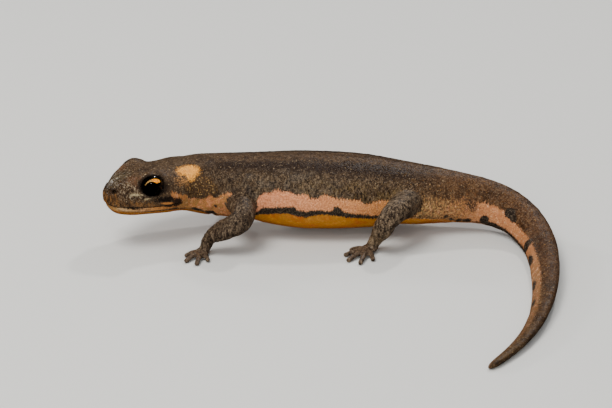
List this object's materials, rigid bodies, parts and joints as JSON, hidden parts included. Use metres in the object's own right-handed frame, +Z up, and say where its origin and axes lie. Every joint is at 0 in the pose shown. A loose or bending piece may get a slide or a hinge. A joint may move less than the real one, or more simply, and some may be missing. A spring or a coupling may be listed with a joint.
{
  "type": "newt",
  "caption": "Life-size newt in its land dress, standing on four short legs with its head turned, its tapering tail laid on the floor in a long bend",
  "frame": {"origin": "on the floor, under the middle of the animal's box", "axes": "head towards -X, the animal's left side towards -Y, +Z up"},
  "size_m": [0.0668, 0.058, 0.0123],
  "materials": {
    "skin": "moist, finely granular amphibian skin, brown with a salmon band and an orange belly",
    "eye": "wet and glossy, black with a gold arc"
  },
  "bodies": {
    "root": {"head": "skin", "lower_jaw": "skin", "neck": "skin", "trunk_front": "skin", "trunk_rear": "skin", "tail_1": "skin", "tail_2": "skin", "tail_3": "skin", "tail_4": "skin", "upper_arm_left": "skin", "forearm_left": "skin", "hand_left": "skin", "thigh_left": "skin", "shin_left": "skin", "foot_left": "skin", "upper_arm_right": "skin", "forearm_right": "skin", "hand_right": "skin", "thigh_right": "skin", "shin_right": "skin", "foot_right": "skin", "eye_left": "eye", "eye_right": "eye"}
  },
  "joints": []
}
